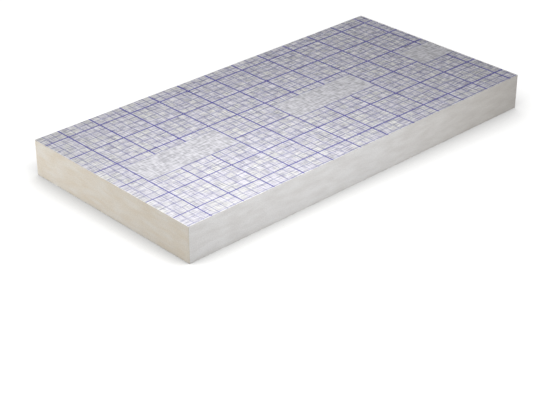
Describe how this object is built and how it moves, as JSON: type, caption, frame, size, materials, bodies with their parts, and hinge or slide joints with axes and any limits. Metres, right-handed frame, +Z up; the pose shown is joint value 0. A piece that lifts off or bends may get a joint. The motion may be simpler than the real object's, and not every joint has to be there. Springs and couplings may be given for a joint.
{
  "type": "polyiso insulation board",
  "caption": "Rigid rectangular foam insulation board for floors, laminated between thin facings, the upper one printed with a square cutting grid; butt edges.",
  "frame": {"origin": "middle of the underside, on the floor that the board rests on", "axes": "+Z up through the thickness, +X along the 1200 mm side, +Y along the 600 mm side"},
  "size_m": [1.2, 0.6, 0.1],
  "materials": {
    "foam": "sawn closed-cell rigid foam, pale cream, matte",
    "printed_film": "woven silver-grey film with a printed blue square grid, slight sheen",
    "plain_film": "plain silver-grey film, slight sheen"
  },
  "bodies": {
    "root": {"foam_core": "foam", "top_facing": "printed_film", "bottom_facing": "plain_film"}
  },
  "joints": []
}
